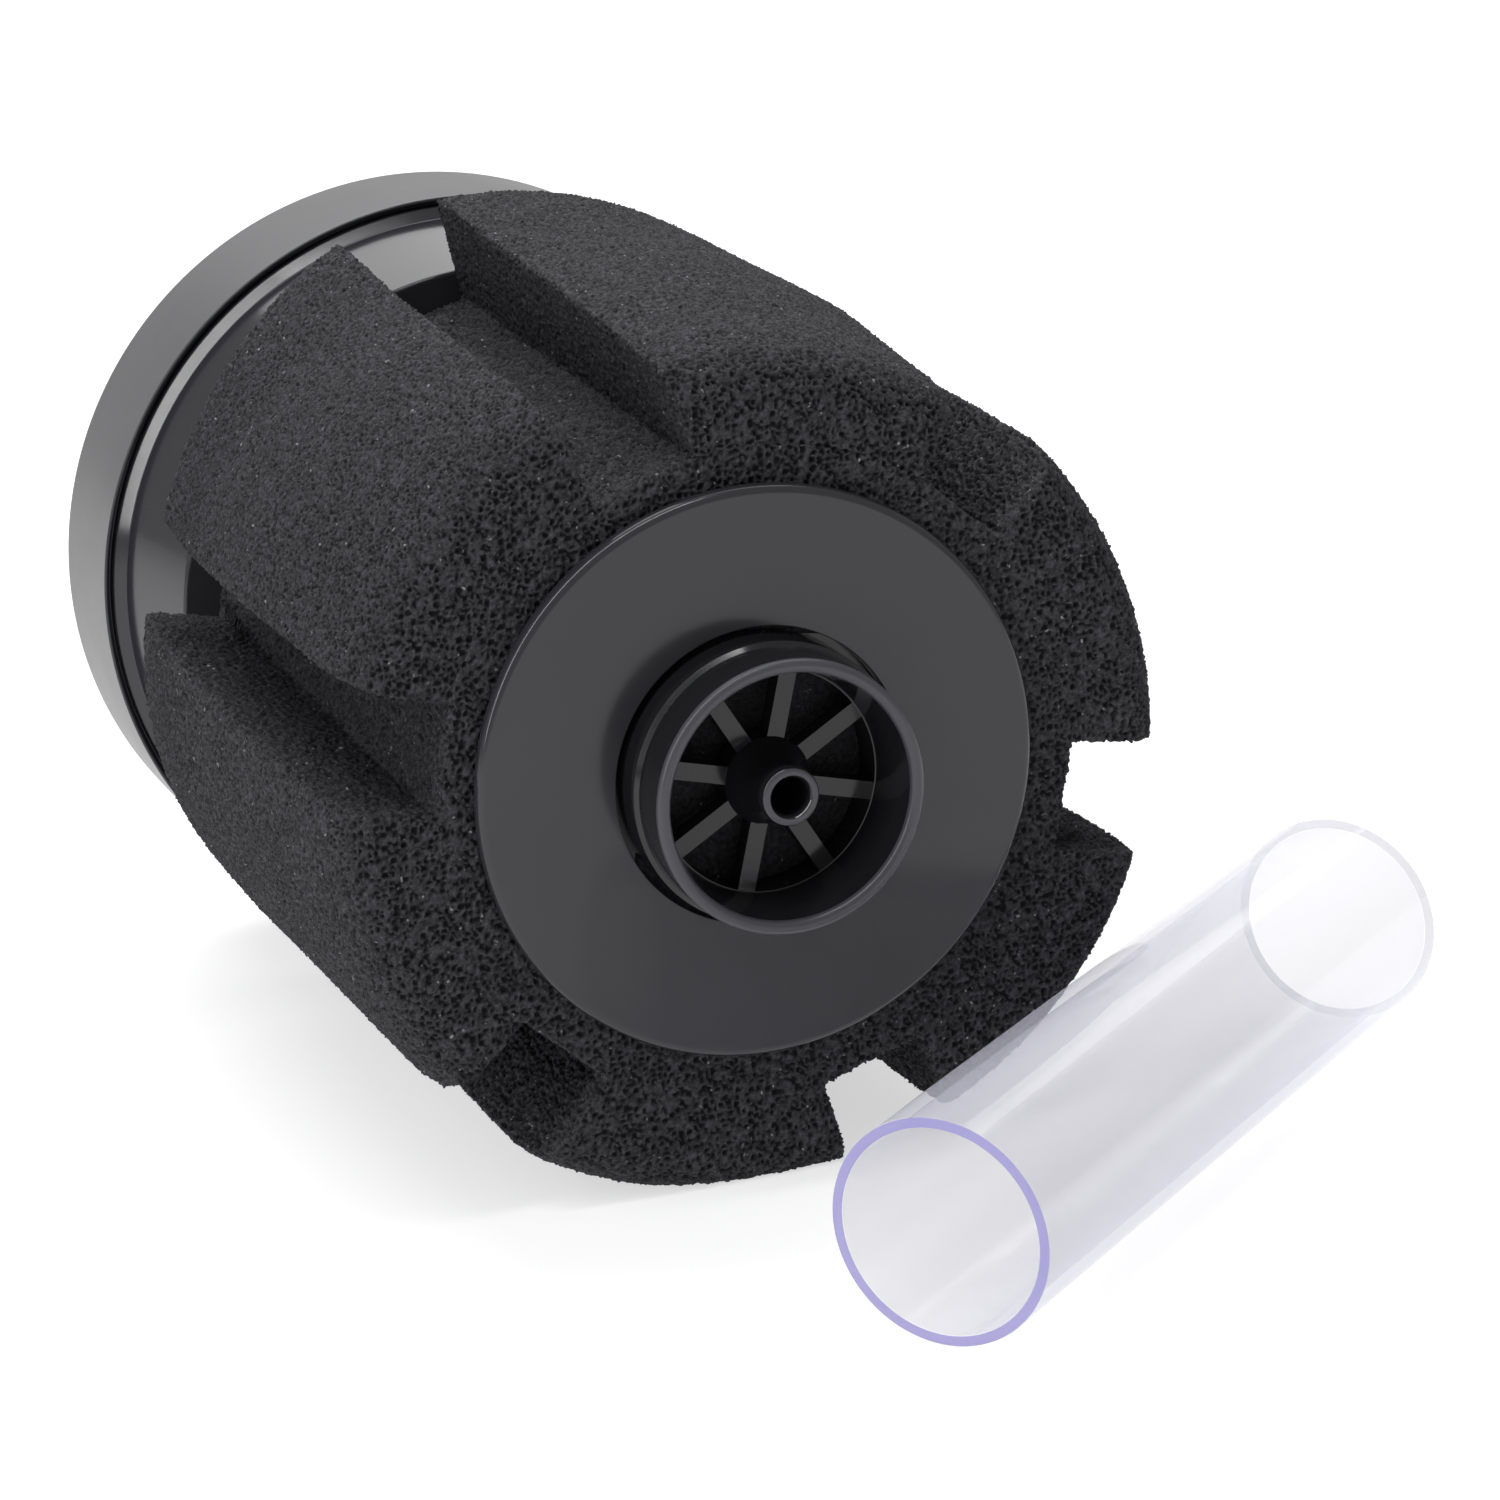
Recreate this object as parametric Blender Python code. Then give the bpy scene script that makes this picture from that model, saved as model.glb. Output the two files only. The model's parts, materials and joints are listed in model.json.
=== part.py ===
"""Air-driven sponge filter, lying on its side, with its lift tube loose on the floor beside it.

Units are metres and +Z is up. Each sub-part is modelled upright, on its own axis, in the frame of
an empty: the filter's empty has its origin at the middle of the base's underside, and the tube's
has it at the middle of one open end. The two empties then lay the parts on the floor, z = 0.
"""
import math

import bmesh
import bpy
from mathutils import Matrix, Vector

MM = 0.001
GAP = 0.3 * MM                      # space kept between pieces that touch

# Driving dimensions, upright: radii from the filter's axis, heights from the base's underside.
LIFT_TUBE_DIAMETER = 25.4 * MM      # one-inch tube, which sets the scale of everything else
LIFT_TUBE_WALL = 1.25 * MM
LIFT_TUBE_LENGTH = 104.6 * MM

PLATE_RADIUS = 32.8 * MM
PLATE_THICKNESS = 2.4 * MM
PLATE_FACE = 128.6 * MM             # height of the plate's outer face
PLATE_EDGE_ROUND = 0.9 * MM

BASE_RADIUS = 48.7 * MM
BASE_WALL = 2.4 * MM
RIM_HEIGHT = 21.7 * MM
PEDESTAL_FOOT_RADIUS = 46.0 * MM
PEDESTAL_TOP_RADIUS = 40.7 * MM
PEDESTAL_HEIGHT = 36.8 * MM         # the flat shoulder that the sponge stands on
SPIGOT_HEIGHT = 8.0 * MM            # ring inside the core's foot
COVER_THICKNESS = 2.2 * MM
BALLAST_INNER_RADIUS = 26.0 * MM
BALLAST_OUTER_RADIUS = 43.0 * MM
BALLAST_HEIGHT = 7.0 * MM

CORE_OUTER_RADIUS = 17.5 * MM
CORE_INNER_RADIUS = 15.5 * MM
CORE_TOP = 124.0 * MM
SLOT_COLUMNS = 10
SLOT_ROWS = 3
SLOT_WIDTH = 4.2 * MM
SLOT_LENGTH = 17.0 * MM
SLOT_PITCH = 20.0 * MM
SLOT_FIRST = 49.5 * MM              # lower end of the lowest row

LOBES = 6
LOBE_RADIUS = 50.3 * MM
GROOVE_RADIUS = 37.2 * MM
GROOVE_MOUTH_WIDTH = 14.2 * MM
GROOVE_FLOOR_WIDTH = 12.6 * MM
GROOVE_TURN = math.radians(-12.5)   # first groove's angle from +X
SPONGE_BORE_RADIUS = 18.1 * MM

SOCKET_RADIUS = 15.6 * MM
SOCKET_BAND_RADIUS = 16.1 * MM      # lower third of the collar's outer wall
SOCKET_BAND_TOP = 131.9 * MM
SOCKET_RIM = 138.6 * MM
SOCKET_BORE_RADIUS = 12.9 * MM      # at the seat: the bore widens from here to its mouth
SOCKET_MOUTH_RADIUS = 13.6 * MM
PASSAGE_RADIUS = 12.6 * MM          # water passage below the seat
PLATE_HOLE_RADIUS = 17.0 * MM       # leaves a narrow open ring round the collar
TUBE_SEAT = 130.6 * MM              # ledge and spoke tops that the lift tube stops on
PLUG_BOTTOM = 110.0 * MM
SPOKES = 8
SPOKE_TURN = math.radians(-15.0)
SPOKE_WIDTH = 1.8 * MM
SPOKE_DEPTH = 2.6 * MM
HUB_RADIUS = 5.0 * MM
NIPPLE_RADIUS = 3.4 * MM
NIPPLE_BORE_RADIUS = 2.2 * MM
NIPPLE_TOP = 138.0 * MM

# Where the loose lift tube lies, from the middle of the plate's face, in the lying filter's frame.
TUBE_NEAR_END = Vector((-1.4 * MM, -49.8 * MM, 0.0))
TUBE_HEADING = math.radians(39.9)   # direction of its axis from the near end, turned from +X

FINE_ROUND = 72                     # sides of the large round pieces
SMALL_ROUND = 48
CORE_ROUND = 60                     # a whole number of sides for each column of slots


def clear_scene():
    for item in list(bpy.data.objects):
        bpy.data.objects.remove(item, do_unlink=True)


def plastic(name, colour, roughness, metallic=0.0, alpha=1.0):
    """One Principled material with a plain colour and finish."""
    material = bpy.data.materials.new(name)
    material.use_nodes = True
    shader = material.node_tree.nodes["Principled BSDF"]
    shader.inputs["Base Color"].default_value = (*colour, 1.0)
    shader.inputs["Roughness"].default_value = roughness
    shader.inputs["Metallic"].default_value = metallic
    shader.inputs["Alpha"].default_value = alpha
    return material


def add_empty(name, location, rotation):
    empty = bpy.data.objects.new(name, None)
    empty.location = location
    empty.rotation_euler = rotation
    bpy.context.scene.collection.objects.link(empty)
    return empty


def add_object(name, mesh_builder, material, parent):
    """Turn a finished bmesh into a named object with smooth round faces and sharp corners."""
    mesh = bpy.data.meshes.new(name)
    bmesh.ops.recalc_face_normals(mesh_builder, faces=mesh_builder.faces)
    mesh_builder.to_mesh(mesh)
    mesh_builder.free()
    mesh.shade_smooth()
    mesh.set_sharp_from_angle(angle=math.radians(35.0))
    part = bpy.data.objects.new(name, mesh)
    part.parent = parent
    bpy.context.scene.collection.objects.link(part)
    if material:
        part.data.materials.append(material)
    return part


def turn(outline, sides):
    """Spin a (radius, height) outline about Z. It is a closed ring unless it starts on the axis."""
    builder = bmesh.new()
    points = [builder.verts.new((radius, 0.0, height)) for radius, height in outline]
    pairs = list(zip(points, points[1:]))
    if outline[0][0] > 0.0:
        pairs.append((points[-1], points[0]))
    lines = [builder.edges.new(pair) for pair in pairs]
    bmesh.ops.spin(builder, geom=points + lines, cent=(0.0, 0.0, 0.0), axis=(0.0, 0.0, 1.0),
                   angle=math.tau, steps=sides, use_merge=True)
    bmesh.ops.remove_doubles(builder, verts=builder.verts, dist=1e-6)
    return builder


def rounded(corner, radius, start, end, steps=3):
    """Points of a quarter-round of this radius on a corner of an outline, from one angle to another."""
    centre_r, centre_z = corner
    turns = [start + (end - start) * step / steps for step in range(steps + 1)]
    return [(centre_r + radius * math.cos(a), centre_z + radius * math.sin(a)) for a in turns]


def add_box(builder, centre, size, turned_by):
    """A box of this size, its centre at (radius, height), swung round Z by an angle."""
    radius, height = centre
    made = bmesh.ops.create_cube(builder, size=1.0)["verts"]
    bmesh.ops.scale(builder, vec=size, verts=made)
    bmesh.ops.translate(builder, vec=(radius, 0.0, height), verts=made)
    bmesh.ops.rotate(builder, cent=(0.0, 0.0, 0.0), matrix=Matrix.Rotation(turned_by, 3, "Z"), verts=made)


def combine(part, tool, operation):
    """Join or cut one object with a hidden tool object."""
    modifier = part.modifiers.new(tool.name, "BOOLEAN")
    modifier.operation = operation
    modifier.object = tool
    modifier.solver = "EXACT"
    tool.hide_render = True
    tool.display_type = "WIRE"


def base_shell(material, parent):
    """Drum with a rounded lip, a tapered pedestal for the sponge and a ring for the core's foot."""
    spigot_outer = CORE_INNER_RADIUS - GAP
    spigot_inner = spigot_outer - 2.2 * MM
    spigot_top = PEDESTAL_HEIGHT + SPIGOT_HEIGHT
    lip = 0.9 * MM
    under_rim = RIM_HEIGHT - BASE_WALL
    under_top = PEDESTAL_HEIGHT - BASE_WALL
    outline = [(0.0, PEDESTAL_HEIGHT), (spigot_inner, PEDESTAL_HEIGHT), (spigot_inner, spigot_top),
               (spigot_outer, spigot_top), (spigot_outer, PEDESTAL_HEIGHT)]
    outline += rounded((PEDESTAL_TOP_RADIUS - lip, PEDESTAL_HEIGHT - lip), lip, math.pi / 2, 0.3, 2)
    groove = 0.8 * MM
    outline += [(PEDESTAL_FOOT_RADIUS, RIM_HEIGHT + 0.2 * MM),
                (PEDESTAL_FOOT_RADIUS + 0.3 * MM, RIM_HEIGHT - groove),
                (PEDESTAL_FOOT_RADIUS + 0.8 * MM, RIM_HEIGHT - groove),
                (PEDESTAL_FOOT_RADIUS + 1.0 * MM, RIM_HEIGHT)]
    outline += rounded((BASE_RADIUS - lip, RIM_HEIGHT - lip), lip, math.pi / 2, 0.0)
    inner = BASE_RADIUS - BASE_WALL
    outline += [(BASE_RADIUS, 0.0), (inner, 0.0), (inner, under_rim - 1.0 * MM),
                (PEDESTAL_FOOT_RADIUS - BASE_WALL, under_rim + 1.5 * MM),
                (PEDESTAL_TOP_RADIUS - BASE_WALL, under_top), (0.0, under_top)]
    return add_object("base_shell", turn(outline, FINE_ROUND), material, parent)


def base_bottom_cover(material, parent):
    """Disc that closes the drum from below and is the face that the filter stands on."""
    radius = BASE_RADIUS - BASE_WALL - GAP
    outline = [(0.0, 0.0), (radius, 0.0), (radius, COVER_THICKNESS), (0.0, COVER_THICKNESS)]
    return add_object("base_bottom_cover", turn(outline, FINE_ROUND), material, parent)


def ballast_ring(material, parent):
    """Weight that keeps the filter down in the water, lying on the bottom cover."""
    low = COVER_THICKNESS + GAP
    high = low + BALLAST_HEIGHT
    outline = [(BALLAST_INNER_RADIUS, low), (BALLAST_OUTER_RADIUS, low),
               (BALLAST_OUTER_RADIUS, high), (BALLAST_INNER_RADIUS, high)]
    return add_object("ballast_ring", turn(outline, SMALL_ROUND), material, parent)


def core_cage(material, parent):
    """Tube with rows of slots, which lets water through and keeps the sponge from collapsing."""
    low = PEDESTAL_HEIGHT + GAP
    outline = [(CORE_INNER_RADIUS, low), (CORE_OUTER_RADIUS, low),
               (CORE_OUTER_RADIUS, CORE_TOP), (CORE_INNER_RADIUS, CORE_TOP)]
    cage = add_object("core_cage", turn(outline, CORE_ROUND), material, parent)
    slots = bmesh.new()
    depth = 3.0 * (CORE_OUTER_RADIUS - CORE_INNER_RADIUS)
    middle = (CORE_OUTER_RADIUS + CORE_INNER_RADIUS) / 2
    for row in range(SLOT_ROWS):
        height = SLOT_FIRST + SLOT_LENGTH / 2 + row * SLOT_PITCH
        for column in range(SLOT_COLUMNS):
            add_box(slots, (middle, height), (depth, SLOT_WIDTH, SLOT_LENGTH),
                    math.tau * (column + 0.5) / SLOT_COLUMNS)
    combine(cage, add_object("slot_cutter", slots, None, parent), "DIFFERENCE")
    return cage


def lobed_outline(shrink):
    """Cross-section of the sponge: round lobes parted by straight-sided grooves.

    shrink draws the lobes in towards the groove floor, for the soft edges at the sponge's ends.
    """
    lobe = LOBE_RADIUS - shrink
    half_outer = math.asin(GROOVE_MOUTH_WIDTH / 2 / lobe)
    half_floor = math.asin(GROOVE_FLOOR_WIDTH / 2 / GROOVE_RADIUS)
    sector = math.tau / LOBES
    arc_steps = 8
    points = []
    for index in range(LOBES):
        start = GROOVE_TURN + index * sector
        points += [(GROOVE_RADIUS, start - half_floor * side) for side in (1.0, 0.0, -1.0)]
        sweep = sector - 2 * half_outer
        points += [(lobe, start + half_outer + sweep * step / arc_steps)
                   for step in range(arc_steps + 1)]
    return [(radius * math.cos(angle), radius * math.sin(angle)) for radius, angle in points]


def sponge(material, parent):
    """Lobed foam block around the core, pressed flat where it lies on the floor."""
    low = PEDESTAL_HEIGHT + GAP
    high = PLATE_FACE - PLATE_THICKNESS - GAP
    rings = [(low, 1.2 * MM), (low + 1.5 * MM, 0.0), (high - 9.0 * MM, 0.0),
             (high - 4.0 * MM, 0.8 * MM), (high - 1.2 * MM, 2.0 * MM), (high, 3.4 * MM)]
    builder = bmesh.new()
    loops = []
    for height, shrink in rings:
        loops.append([builder.verts.new((x, max(y, -BASE_RADIUS), height))
                      for x, y in lobed_outline(shrink)])
    for height in (high, low):
        loop = []
        for vertex in loops[0]:
            angle = math.atan2(vertex.co.y, vertex.co.x)
            loop.append(builder.verts.new((SPONGE_BORE_RADIUS * math.cos(angle),
                                           SPONGE_BORE_RADIUS * math.sin(angle), height)))
        loops.append(loop)
    loops.append(loops[0])
    for lower, upper in zip(loops, loops[1:]):
        for index in range(len(lower)):
            after = (index + 1) % len(lower)
            builder.faces.new((lower[index], lower[after], upper[after], upper[index]))
    return add_object("sponge", builder, material, parent)


def top_plate(material, parent):
    """Round plate that holds the sponge down, with a hole for the socket."""
    low = PLATE_FACE - PLATE_THICKNESS
    edge = PLATE_EDGE_ROUND
    outline = [(PLATE_HOLE_RADIUS, low)]
    outline += rounded((PLATE_RADIUS - edge, low + edge), edge, -math.pi / 2, 0.0)
    outline += rounded((PLATE_RADIUS - edge, PLATE_FACE - edge), edge, 0.0, math.pi / 2)
    outline += [(PLATE_HOLE_RADIUS, PLATE_FACE)]
    return add_object("top_plate", turn(outline, FINE_ROUND), material, parent)


def lift_tube_socket(material, parent):
    """Collar for the lift tube, plug for the core, and eight spokes round the air nipple."""
    plug = CORE_INNER_RADIUS - GAP
    flange_low = CORE_TOP + GAP
    flange_high = PLATE_FACE - PLATE_THICKNESS - GAP
    rim = 0.7 * MM
    outline = [(PASSAGE_RADIUS, PLUG_BOTTOM), (plug, PLUG_BOTTOM), (plug, flange_low),
               (CORE_OUTER_RADIUS, flange_low), (CORE_OUTER_RADIUS, flange_high),
               (SOCKET_BAND_RADIUS, flange_high), (SOCKET_BAND_RADIUS, SOCKET_BAND_TOP),
               (SOCKET_RADIUS, SOCKET_BAND_TOP + 0.3 * MM)]
    outline += rounded((SOCKET_RADIUS - rim, SOCKET_RIM - rim), rim, 0.0, math.pi / 2, 2)
    outline += [(SOCKET_MOUTH_RADIUS + 0.3 * MM, SOCKET_RIM), (SOCKET_MOUTH_RADIUS, SOCKET_RIM - rim),
                (SOCKET_BORE_RADIUS, TUBE_SEAT), (PASSAGE_RADIUS, TUBE_SEAT)]
    socket = add_object("lift_tube_socket", turn(outline, FINE_ROUND), material, parent)

    spoke_low = TUBE_SEAT - SPOKE_DEPTH
    spoke_outer = PASSAGE_RADIUS + 0.8 * MM
    spoke_inner = 0.6 * HUB_RADIUS
    spokes = bmesh.new()
    for index in range(SPOKES):
        add_box(spokes, ((spoke_outer + spoke_inner) / 2, TUBE_SEAT - SPOKE_DEPTH / 2),
                (spoke_outer - spoke_inner, SPOKE_WIDTH, SPOKE_DEPTH - 0.1 * MM),
                SPOKE_TURN + math.tau * index / SPOKES)
    combine(socket, add_object("spoke_tool", spokes, None, parent), "UNION")

    neck = NIPPLE_RADIUS - 0.5 * MM
    hub_low = spoke_low - 2.4 * MM
    hub_outline = [(NIPPLE_BORE_RADIUS, hub_low), (HUB_RADIUS - 0.8 * MM, hub_low),
                   (HUB_RADIUS, hub_low + 1.0 * MM), (HUB_RADIUS, TUBE_SEAT),
                   (HUB_RADIUS - 1.3 * MM, TUBE_SEAT + 2.0 * MM), (neck, NIPPLE_TOP - 2.2 * MM),
                   (NIPPLE_RADIUS, NIPPLE_TOP - 1.7 * MM), (NIPPLE_RADIUS, NIPPLE_TOP - 0.6 * MM),
                   (NIPPLE_RADIUS - 0.4 * MM, NIPPLE_TOP), (NIPPLE_BORE_RADIUS, NIPPLE_TOP)]
    hub = add_object("hub_tool", turn(hub_outline, 32), None, parent)
    combine(socket, hub, "UNION")
    return socket


def lift_tube(material, parent):
    """Clear tube with plain open ends."""
    outer = LIFT_TUBE_DIAMETER / 2
    inner = outer - LIFT_TUBE_WALL
    outline = [(inner, 0.0), (outer, 0.0), (outer, LIFT_TUBE_LENGTH), (inner, LIFT_TUBE_LENGTH)]
    return add_object("lift_tube", turn(outline, SMALL_ROUND), material, parent)


def centre_footprint(parts, empties):
    """Shift the empties so that the middle of the whole footprint is at x = y = 0."""
    bpy.context.view_layer.update()
    corners = [part.matrix_world @ Vector(corner) for part in parts for corner in part.bound_box]
    lowest = [min(corner[i] for corner in corners) for i in range(3)]
    highest = [max(corner[i] for corner in corners) for i in range(3)]
    for empty in empties:
        empty.location.x -= (lowest[0] + highest[0]) / 2
        empty.location.y -= (lowest[1] + highest[1]) / 2


def build():
    clear_scene()
    gloss_black = plastic("gloss_black_plastic", (0.012, 0.012, 0.014), 0.22)
    cage_black = plastic("cage_black_plastic", (0.014, 0.014, 0.015), 0.4)
    foam = plastic("charcoal_foam", (0.02, 0.02, 0.021), 0.95)
    clear = plastic("clear_tube_plastic", (0.85, 0.86, 0.93), 0.05, alpha=0.35)
    iron = plastic("ballast_iron", (0.16, 0.15, 0.14), 0.7, metallic=0.6)

    # The filter lies down: its own +Z points to -Y, and its rim touches the floor.
    filter_axis = add_empty("filter_axis", (0.0, PLATE_FACE, BASE_RADIUS), (math.pi / 2, 0.0, 0.0))
    tube_near_end = TUBE_NEAR_END + Vector((0.0, 0.0, LIFT_TUBE_DIAMETER / 2))
    tube_axis = add_empty("tube_axis", tube_near_end, (0.0, math.pi / 2, TUBE_HEADING))

    parts = [base_shell(gloss_black, filter_axis), base_bottom_cover(gloss_black, filter_axis),
             ballast_ring(iron, filter_axis), core_cage(cage_black, filter_axis),
             sponge(foam, filter_axis), top_plate(gloss_black, filter_axis),
             lift_tube_socket(gloss_black, filter_axis), lift_tube(clear, tube_axis)]
    centre_footprint(parts, (filter_axis, tube_axis))
    print("filter axis passes through", tuple(round(v, 5) for v in filter_axis.location))
    print("tube's near end is at", tuple(round(v, 5) for v in tube_axis.location))


build()
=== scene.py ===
# %% [markdown]
# # A sponge filter on its side, with its lift tube beside it
#
# A sponge filter cleans a small tank. Air goes down a thin hose to a nipple in the middle of the
# socket, the bubbles rise through the lift tube, and the water that they carry is drawn in through
# the foam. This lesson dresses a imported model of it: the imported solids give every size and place,
# and each visible piece is made again here with fine edges and a finish of its own.

import itertools
import json
import math

import bpy
import numpy as np
from mathutils import Matrix, Vector


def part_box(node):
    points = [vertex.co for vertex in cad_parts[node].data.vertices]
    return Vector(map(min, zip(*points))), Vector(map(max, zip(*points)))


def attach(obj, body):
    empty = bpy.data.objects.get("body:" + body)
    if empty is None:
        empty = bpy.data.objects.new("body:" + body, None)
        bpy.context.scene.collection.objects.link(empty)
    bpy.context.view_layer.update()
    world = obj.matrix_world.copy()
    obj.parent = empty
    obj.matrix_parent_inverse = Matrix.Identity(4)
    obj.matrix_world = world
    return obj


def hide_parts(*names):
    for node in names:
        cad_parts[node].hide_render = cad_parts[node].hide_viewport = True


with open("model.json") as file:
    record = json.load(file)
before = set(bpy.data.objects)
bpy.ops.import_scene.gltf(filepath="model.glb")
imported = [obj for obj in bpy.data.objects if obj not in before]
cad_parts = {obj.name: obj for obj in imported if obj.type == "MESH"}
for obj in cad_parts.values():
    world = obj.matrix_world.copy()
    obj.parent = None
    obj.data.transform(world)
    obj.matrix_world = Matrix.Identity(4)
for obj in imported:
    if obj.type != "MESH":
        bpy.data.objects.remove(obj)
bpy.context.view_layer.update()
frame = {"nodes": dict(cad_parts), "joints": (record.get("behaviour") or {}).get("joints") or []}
MM = 0.001
GAP = 0.3 * MM

# %% [markdown]
# ## Sizes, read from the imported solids
#
# The filter lies along Y, with its socket towards -Y. It is easier to model it standing up, so the
# pieces are made upright, with heights measured from the base's underside, and are laid down at
# the end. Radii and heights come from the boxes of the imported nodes.


# %% The filter's axis, radii and heights
def middle(node):
    low, high = (Vector(corner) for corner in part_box(node))
    return (low + high) / 2


def radius_of(node):
    low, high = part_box(node)
    return (high[0] - low[0]) / 2


UNDERSIDE_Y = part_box("base_bottom_cover")[1][1]
AXIS_X = middle("base_shell").x
AXIS_Z = middle("base_shell").z


def heights_of(node):
    """Lowest and highest point of a node of the filter when it stands upright."""
    low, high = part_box(node)
    return UNDERSIDE_Y - high[1], UNDERSIDE_Y - low[1]


BASE_RADIUS = radius_of("base_shell")
PLATE_RADIUS = radius_of("top_plate")
PLATE_BACK, PLATE_FACE = heights_of("top_plate")
SPONGE_FOOT, SPONGE_TOP = heights_of("sponge")
LOBE_RADIUS = AXIS_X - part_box("sponge")[0][0]
CORE_RADIUS = radius_of("core_cage")
CORE_FOOT, CORE_TOP = heights_of("core_cage")
PLUG_BOTTOM, SOCKET_RIM = heights_of("lift_tube_socket")
SPIGOT_TOP = heights_of("base_shell")[1]
print("plate radius %.1f mm, base radius %.1f mm" % (PLATE_RADIUS / MM, BASE_RADIUS / MM))

# %% [markdown]
# ## Small helpers
#
# Operators act on everything that is selected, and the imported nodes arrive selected, so each step
# starts by selecting only its own piece. A finished piece keeps its place in its mesh, with its
# object at the origin, so that patterns that read Object coordinates stay where they belong.


# %% Selecting, applying and placing
def select_only(piece):
    if bpy.context.object and bpy.context.object.mode != "OBJECT":
        bpy.ops.object.mode_set(mode="OBJECT")
    bpy.ops.object.select_all(action="DESELECT")
    piece.select_set(True)
    bpy.context.view_layer.objects.active = piece


def apply_modifiers(piece):
    select_only(piece)
    for modifier in list(piece.modifiers):
        bpy.ops.object.modifier_apply(modifier=modifier.name)


def apply_place(piece):
    select_only(piece)
    bpy.ops.object.transform_apply(location=True, rotation=True, scale=True)


def lay_down(piece):
    """Turn an upright piece onto its side, on the filter's axis."""
    apply_place(piece)
    piece.rotation_euler = (math.pi / 2, 0.0, 0.0)
    piece.location = (AXIS_X, UNDERSIDE_Y, AXIS_Z)
    apply_place(piece)


def cut(piece, tool, operation="DIFFERENCE"):
    """Cut one piece with another, or join them, and throw the tool away."""
    step = piece.modifiers.new("cut", "BOOLEAN")
    step.operation = operation
    step.solver = "EXACT"
    step.object = tool
    apply_modifiers(piece)
    bpy.data.objects.remove(tool, do_unlink=True)


def soften_edges(piece, width, segments=2, angle=32.0):
    """Round every corner sharper than the angle, as a mould does, and keep flat faces looking flat."""
    step = piece.modifiers.new("soft edges", "BEVEL")
    step.width = width
    step.segments = segments
    step.limit_method = "ANGLE"
    step.angle_limit = math.radians(angle)
    step.use_clamp_overlap = True
    apply_modifiers(piece)
    select_only(piece)
    bpy.ops.object.shade_smooth_by_angle(angle=math.radians(angle))
    step = piece.modifiers.new("flat faces", "WEIGHTED_NORMAL")
    step.keep_sharp = True
    apply_modifiers(piece)


def triangles(piece):
    return sum(len(face.vertices) - 2 for face in piece.data.polygons)


# %% [markdown]
# ## Turned pieces
#
# Most of the filter is round, so most pieces are an outline spun about the axis. The outline is
# drawn as by hand: a plane is merged to one point, the point is extruded from corner to corner, and
# the line is spun. An outline that doesn't touch the axis is closed, and makes a ring.


# %% Draw an outline and spin it
def turned(name, outline, sides):
    """outline is a list of (radius, height) points. It is a ring unless it starts on the axis."""
    bpy.ops.object.select_all(action="DESELECT")
    bpy.ops.mesh.primitive_plane_add(size=MM, location=(0.0, 0.0, 0.0))
    piece = bpy.context.object
    piece.name = name
    points = [Vector((radius, 0.0, height)) for radius, height in outline]
    if outline[0][0] > 0.0:
        points.append(points[0].copy())
    bpy.ops.object.mode_set(mode="EDIT")
    bpy.ops.mesh.select_all(action="SELECT")
    bpy.ops.mesh.merge(type="CENTER")
    bpy.ops.transform.translate(value=points[0])
    for start, end in zip(points, points[1:]):
        bpy.ops.mesh.extrude_vertices_move(TRANSFORM_OT_translate={"value": end - start})
    bpy.ops.mesh.select_all(action="SELECT")
    bpy.ops.mesh.remove_doubles(threshold=0.001 * MM)
    bpy.ops.mesh.spin(steps=sides, angle=math.tau, center=(0.0, 0.0, 0.0), axis=(0.0, 0.0, 1.0))
    bpy.ops.mesh.select_all(action="SELECT")
    bpy.ops.mesh.remove_doubles(threshold=0.001 * MM)
    bpy.ops.mesh.normals_make_consistent(inside=False)
    bpy.ops.object.mode_set(mode="OBJECT")
    return piece


def arc(centre, radius, start, end, steps):
    """Points of a round stretch of an outline, from one angle to another, in degrees."""
    turns = [math.radians(start + (end - start) * step / steps) for step in range(steps + 1)]
    return [(centre[0] + radius * math.cos(turn), centre[1] + radius * math.sin(turn))
            for turn in turns]


def box(name, centre, size, turned_by=0.0):
    """A block of this size. Its centre is swung round the filter's axis by an angle."""
    bpy.ops.object.select_all(action="DESELECT")
    swing = Matrix.Rotation(turned_by, 3, "Z")
    bpy.ops.mesh.primitive_cube_add(size=1.0, location=swing @ Vector(centre),
                                    rotation=(0.0, 0.0, turned_by))
    piece = bpy.context.object
    piece.name = name
    piece.scale = size
    apply_place(piece)
    return piece


# %% [markdown]
# ## Writing shader maths
#
# A pattern is easier to read as a sum than as a list of nodes. `Value` wraps one output of a node,
# and adding or multiplying it adds the Math node. `Finish` is one material: its `node` method makes
# any other node, with its settings first and then the values or links of its sockets.


# %% Value and Finish
class Value:
    """One output of a shader node, which can be used in sums."""

    def __init__(self, finish, socket):
        self.finish = finish
        self.socket = socket

    def maths(self, operation, first, second):
        return self.finish.node("ShaderNodeMath", {"operation": operation}, {0: first, 1: second})

    def __add__(self, other):
        return self.maths("ADD", self, other)

    __radd__ = __add__

    def __sub__(self, other):
        return self.maths("SUBTRACT", self, other)

    def __rsub__(self, other):
        return self.maths("SUBTRACT", other, self)

    def __mul__(self, other):
        return self.maths("MULTIPLY", self, other)

    __rmul__ = __mul__


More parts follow.
